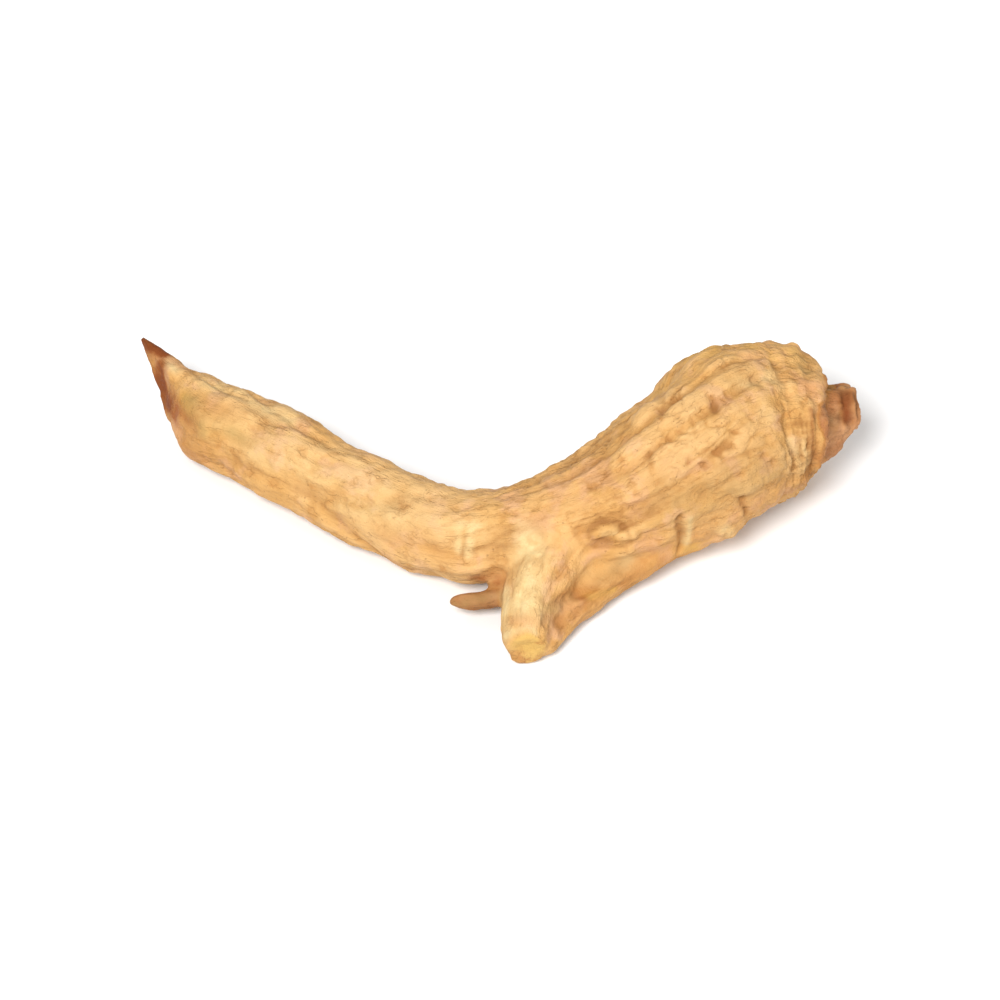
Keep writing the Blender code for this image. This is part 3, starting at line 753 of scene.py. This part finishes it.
def growRoot():
    # A limb's weight at a point is exp(-blend * distance from its middle in radii). The
    # limbs' reliefs, averaged with these weights, raise the skin along its normals.
    paths = {name: smoothPath(stations) for name, stations in limbs.items()}
    root = fuseLimbs("ginsengRoot", paths)
    points = vertexRows(root.data, "co") / mm
    print("limbs fused:", len(points), "points")

    down = np.array((0, 0, growth["lowered"]))
    places = {name: alongLimb(points, path) for name, path in paths.items()}
    weights = [np.exp(-growth["blend"] * away) for _, _, away in places.values()]
    strengths = {n: np.clip(r / growth["fullReliefRadius"], 0, 1) for n, (_, r, _) in places.items()}
    low = {n: lowReliefOf(place[0], n == "bodyAndLongLeg") for n, place in places.items()}
    lowHeight = blended([low[n][0] * strengths[n] for n in places], weights)
    lowFurrow = blended([low[n][1] * strengths[n] for n in places], weights)
    points += vertexRows(root.data, "normal") * (lowHeight + swell(points - down))[:, None]
    setPoints(root, points)
    soften(root, growth["softSkin"])
    applyModifiers(root)
    points = vertexRows(root.data, "co") / mm
    print("low relief raised")

    least = growth["leastFine"]
    fine = {n: fineReliefOf(place[0], n == "bodyAndLongLeg") for n, place in places.items()}
    thin = {n: least + (1 - least) * strength for n, strength in strengths.items()}
    height = blended([fine[n][0] * thin[n] for n in places], weights)
    furrow = blended([fine[n][1] for n in places], weights)
    normals = vertexRows(root.data, "normal")
    lineHeight, lineBrown = drawLines(points - down, normals)
    spotHeight, spotFurrow = drawSpots(points - down)
    tints = stainsAndPaintedLightOf(points - down, normals)
    height += lineHeight + spotHeight
    points = points - down + normals * height[:, None]
    points, bare = pareFlats(points)
    points, dish = dishCrown(points, places["crownStub"][0], paths["crownStub"] - (*down, 0))
    points[:, 2] = np.maximum(points[:, 2], 0)
    setPoints(root, points)
    print("fine relief raised")

    # what the skin's colours follow, and the grain's direction, the nearest limb's
    names = list(places)
    shares = np.array(weights) / np.sum(weights, axis=0)
    strongest = shares.argmax(axis=0)
    straight = np.stack([places[n][0] for n in names])[strongest, np.arange(len(points))]
    furrow += growth["lowInFurrow"] * lowFurrow + spotFurrow + lineBrown
    values = {
        "furrow": np.clip(furrow, 0, growth["mostFurrow"]),
        "raised": height + growth["lowInRaised"] * lowHeight,
        "brown": brownOf(points, shares[names.index("rootlet")], dish),
        "bareEnd": bare["shortEnd"],
        "grainSure": ease(shares.max(axis=0), *growth["sure"]),
        **tints,
    }
    for name, value in values.items():
        layer = root.data.attributes.new(name, "FLOAT", "POINT")
        layer.data.foreach_set("value", value.astype(np.float32))
    layer = root.data.attributes.new("grain", "FLOAT_VECTOR", "POINT")
    layer.data.foreach_set("vector", straight.astype(np.float32).ravel())
    root.data.shade_smooth()
    return root


# ---- the skin's finish

skinLook = {
    "pale": (0.584, 0.343, 0.133), "tan": (0.53, 0.288, 0.092), "pink": (0.565, 0.315, 0.166),
    "amber": (0.44, 0.214, 0.062), "wornAndPaintedHighlight": (0.622, 0.397, 0.178), "furrow": (0.25, 0.105, 0.026),
    "crown": (0.36, 0.148, 0.053), "crownPale": (0.43, 0.212, 0.09), "dark": (0.125, 0.042, 0.012),
    "bare": (0.563, 0.35, 0.095), "speck": (0.15, 0.063, 0.022),
    "tints": {"rust": (0.395, 0.172, 0.045), "russet": (0.3, 0.097, 0.022),
              "gold": (0.505, 0.285, 0.068), "cream": (0.63, 0.465, 0.225),
              "pink": (0.545, 0.288, 0.14), "maroon": (0.18, 0.045, 0.008),
              "olive": (0.288, 0.188, 0.07)},
    "noises": {
        # scale on the object's metres and detail; clouds are about 5 mm, blotches 1.5 mm
        "clouds": (190.0, 3.0), "pinks": (330.0, 3.0), "blotches": (620.0, 4.0),
        "specks": (2600.0, 2.0), "grit": (4200.0, 3.0),
    },
    "noiseRoughness": 0.55, "pinkShift": (3, 1, 2),
    "fibres": ((0.45, 3.2, 3.2), 4.0),      # scale along and across the grain's mm, detail
    "fineFibres": ((1.1, 9.0, 9.0), 3.0),
    "cracks": ((0.34, 1.3, 1.3), 0.7, 0.09),  # scale of their cells, wander, width
    "crackDrift": {"Scale": 1.6, "Detail": 2.0},
    "ramps": {
        # from which value to which, and the shares there if they aren't 0 and 1
        "tan": (0.38, 0.62), "pink": (0.5, 0.64, 0.0, 0.75), "amber": (0.48, 0.68, 0.0, 0.62),
        "streaks": (0.5, 0.7), "low": (-0.15, -0.6, 0.0, 0.45), "high": (-0.12, 0.25, 0.0, 0.45),
        "furrow": (0.35, 1.5, 0.0, 0.85), "specks": (0.66, 0.74, 0.0, 0.45),
        "cracked": (0.42, 0.6), "rusty": (0.12, 0.5), "crownPale": (0.42, 0.6),
        "crownFurrow": (0.15, 1.1, 0.0, 0.85), "crown": (0.45, 0.8), "dark": (0.95, 1.3, 0.0, 0.8),
        "stainsAndPaintedLight": (0.3, 0.62, 1.25, 0.55), "pith": (0.46, 0.6), "bare": (0.3, 0.8, 0.0, 0.8),
        "roughness": (0.3, 0.7, 0.58, 0.82),
    },
    "streakShare": 0.45, "crackShare": 0.22, "brownUneven": 1.3,
    "specular": 0.22, "ior": 1.45,
    "bump": 0.09, "gritHeight": 0.9, "crackDepth": 0.5,  # mm; grit and cracks as shares of fibres
}


class Wiring:
    # Puts nodes into a material and joins their sockets.
    def __init__(self, material):
        self.tree = material.node_tree

    def put(self, socket, value):
        if isinstance(value, bpy.types.NodeSocket):
            self.tree.links.new(value, socket)
        elif hasattr(value, "__len__") and len(value) == 3 and socket.type == "RGBA":
            socket.default_value = (*value, 1)
        else:
            socket.default_value = value

    def node(self, kind, output=0, settings=None, inputs=None, **named):
        node = self.tree.nodes.new("ShaderNode" + kind)
        for name, value in (settings or {}).items():
            setattr(node, name, value)
        for name, value in {**(inputs or {}), **named}.items():
            self.put(node.inputs[name], value)
        return node.outputs[output]

    def attribute(self, name, output="Fac"):
        return self.node("Attribute", output, {"attribute_name": name})

    def math(self, operation, a, b):
        return self.node("Math", 0, {"operation": operation}, {0: a, 1: b})

    def times(self, a, b):
        return self.math("MULTIPLY", a, b)

    def mix(self, share, a, b):
        # a where the share is 0, b where it is 1.
        return self.node("Mix", 2, {"data_type": "RGBA"}, {"Factor": share, 6: a, 7: b})

    def spread(self, value, low, high, toLow=0.0, toHigh=1.0):
        # toLow up to low, toHigh from high on, eased between them.
        return self.node("MapRange", 0, {"interpolation_type": "SMOOTHSTEP"},
                         {0: value, 1: low, 2: high, 3: toLow, 4: toHigh})

    def layer(self, value, ramp, under, over):
        # One colour over another, in the share that the ramp gives for the value.
        return self.mix(self.spread(value, *skinLook["ramps"][ramp]), under, over)

    def noise(self, vector, scale, detail):
        return self.node("TexNoise", Vector=vector, Scale=scale, Detail=detail,
                         Roughness=skinLook["noiseRoughness"])

    def fibrous(self, vector, scale, detail):
        return self.noise(self.node("Mapping", Vector=vector, Scale=scale), 1.0, detail)

    def crackle(self, vector, size, wander, width):
        # 1 on the edges between the cells of a wandering Voronoi pattern.
        drift = self.node("TexNoise", "Color", Vector=vector, **skinLook["crackDrift"])
        shift = self.node("VectorMath", settings={"operation": "SCALE"}, Vector=drift,
                          Scale=wander)
        moved = self.node("VectorMath", inputs={0: vector, 1: shift})
        cells = self.node("Mapping", Vector=moved, Scale=size)
        edge = self.node("TexVoronoi", settings={"feature": "DISTANCE_TO_EDGE"},
                         Vector=cells, Scale=1.0)
        return self.spread(edge, 0.0, width, 1.0, 0.0)


def skinMaterial():
    # Layers from the ground up: tan and pink clouds, amber blotches and streaks, amber hollows
    # and pale heights, partly painted shade and painted highlight, brown furrows and cracks,
    # specks, the brown ends, stains with painted light and shade, the pared end.
    look, noises, ramps = skinLook, skinLook["noises"], skinLook["ramps"]
    material, shader = newMaterial("driedRootSkin")
    wire = Wiring(material)
    place = wire.node("TexCoord", output="Object")
    grain = wire.attribute("grain", "Vector")
    furrow, raised, brown = (wire.attribute(name) for name in ("furrow", "raised", "brown"))
    bare, sure = wire.attribute("bareEnd"), wire.attribute("grainSure")

    clouds, blotches, specks = (wire.noise(place, *noises[name])
                                for name in ("clouds", "blotches", "specks"))
    pinkPlace = wire.node("Mapping", Vector=place, Location=look["pinkShift"])
    pinks = wire.noise(pinkPlace, *noises["pinks"])
    fibres = wire.fibrous(grain, *look["fibres"])
    fineFibres = wire.fibrous(grain, *look["fineFibres"])
    cracks = wire.times(wire.crackle(grain, *look["cracks"]), sure)
    cracks = wire.times(cracks, wire.spread(blotches, *ramps["cracked"]))
    streaks = wire.times(wire.spread(fibres, *ramps["streaks"]), sure)

    colour = wire.layer(clouds, "tan", look["pale"], look["tan"])
    colour = wire.layer(pinks, "pink", colour, look["pink"])
    colour = wire.layer(blotches, "amber", colour, look["amber"])
    colour = wire.mix(wire.times(streaks, look["streakShare"]), colour, look["amber"])
    # amber in the relief's hollows and paler on its heights: partly the skin's own colour, partly
    # painted shade and painted highlight
    colour = wire.layer(raised, "low", colour, look["amber"])
    colour = wire.layer(raised, "high", colour, look["wornAndPaintedHighlight"])
    colour = wire.layer(furrow, "furrow", colour, look["furrow"])
    colour = wire.mix(wire.times(cracks, look["crackShare"]), colour, look["furrow"])
    colour = wire.layer(specks, "specks", colour, look["speck"])

    # brown parts: rusty at their edge, darkest where strongest
    change = wire.times(wire.math("SUBTRACT", blotches, 0.5), look["brownUneven"])
    stain = wire.math("ADD", brown, change)
    colour = wire.layer(stain, "rusty", colour, look["tints"]["rust"])
    crown = wire.layer(pinks, "crownPale", look["crown"], look["crownPale"])
    crown = wire.layer(furrow, "crownFurrow", crown, look["dark"])
    colour = wire.layer(stain, "crown", colour, crown)
    colour = wire.layer(stain, "dark", colour, look["dark"])
    # the table's tints: real stains, and painted shade and painted light on some sides, edges and
    # corners
    for name, tint in look["tints"].items():
        mottled = wire.spread(blotches, *ramps["stainsAndPaintedLight"])
        colour = wire.mix(wire.times(wire.attribute(name), mottled), colour, tint)
    pith = wire.layer(blotches, "pith", look["bare"], look["tints"]["rust"])
    colour = wire.layer(bare, "bare", colour, pith)
    wire.put(shader.inputs["Base Color"], colour)

    wire.put(shader.inputs["Roughness"], wire.spread(blotches, *ramps["roughness"]))
    setInputs(shader, Specular_IOR_Level=look["specular"], IOR=look["ior"])

    height = wire.times(wire.math("ADD", fibres, fineFibres), sure)
    grit = wire.times(wire.noise(place, *noises["grit"]), look["gritHeight"])
    height = wire.math("ADD", height, grit)
    height = wire.math("SUBTRACT", height, wire.times(cracks, look["crackDepth"]))
    bump = wire.node("Bump", Height=height, Distance=look["bump"] * mm, Strength=1.0)
    wire.put(shader.inputs["Normal"], bump)
    return material


# ---- floor, light and camera

studio = {
    "floor": (0.85, 0.85, 0.85), "floorRoughness": 0.9, "floorSpecular": 0.1,
    "floorHalf": 1.5,  # half its width in metres
    "world": (1.0, 0.985, 0.97), "worldStrength": 0.435,
    "aim": (0.14, -0.97, 5.0), "elevation": 44.0, "distance": 700.0, "fieldWidth": 88.0,
    "clip": (0.01, 20),
    "lamps": [
        # name, place in mm, size in mm, watts
        ("keyLight", (-340, -840, 1040), 600, 23.6),
        ("fillLight", (720, -440, 480), 560, 3.5),
        ("topLight", (-120, 400, 960), 600, 1.1),
    ],
}


def layFloor():
    # A square on z = 0.
    half = studio["floorHalf"]
    mesh = bpy.data.meshes.new("floor")
    mesh.from_pydata([(-half, -half, 0), (half, -half, 0), (half, half, 0), (-half, half, 0)],
                     [], [(0, 1, 2, 3)])
    floor = put("floor", mesh)
    material, shader = newMaterial("paleFloor")
    setInputs(shader, Base_Color=(*studio["floor"], 1), Roughness=studio["floorRoughness"],
              Specular_IOR_Level=studio["floorSpecular"])
    mesh.materials.append(material)


def inMetres(place):
    return Vector([value * mm for value in place])


def pointAt(thing, target):
    # Turns its -Z, the way that a lamp or a camera looks, to the target.
    way = target - thing.location
    thing.rotation_euler = way.to_track_quat("-Z", "Y").to_euler()


def lightStudio():
    for name, place, size, watts in studio["lamps"]:
        light = bpy.data.lights.new(name, "AREA")
        light.shape = "DISK"
        light.size = size * mm
        light.energy = watts
        lamp = put(name, light)
        lamp.location = inMetres(place)
        pointAt(lamp, inMetres(studio["aim"]))
    world = bpy.data.worlds.new("studio")
    world.use_nodes = True
    background = world.node_tree.nodes["Background"]
    setInputs(background, Color=(*studio["world"], 1), Strength=studio["worldStrength"])
    bpy.context.scene.world = world
    bpy.context.scene.view_settings.view_transform = "Standard"


def placeCamera():
    # aim + distance * (0, -cos elevation, sin elevation), with the lens that fits the field.
    aim = inMetres(studio["aim"])
    tilt = math.radians(studio["elevation"])
    camera = bpy.data.cameras.new("camera")
    camera.lens = camera.sensor_width * studio["distance"] / studio["fieldWidth"]
    camera.clip_start, camera.clip_end = studio["clip"]
    holder = put("camera", camera)
    back = (0, -math.cos(tilt), math.sin(tilt))
    holder.location = [a + b * studio["distance"] * mm for a, b in zip(aim, back)]
    pointAt(holder, aim)
    bpy.context.scene.camera = holder


root = growRoot()
root.data.materials.append(skinMaterial())
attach(root, "root")
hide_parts("ginseng_root")
print("root grown:", len(root.data.polygons), "faces")
layFloor()
lightStudio()
placeCamera()
print("studio set")
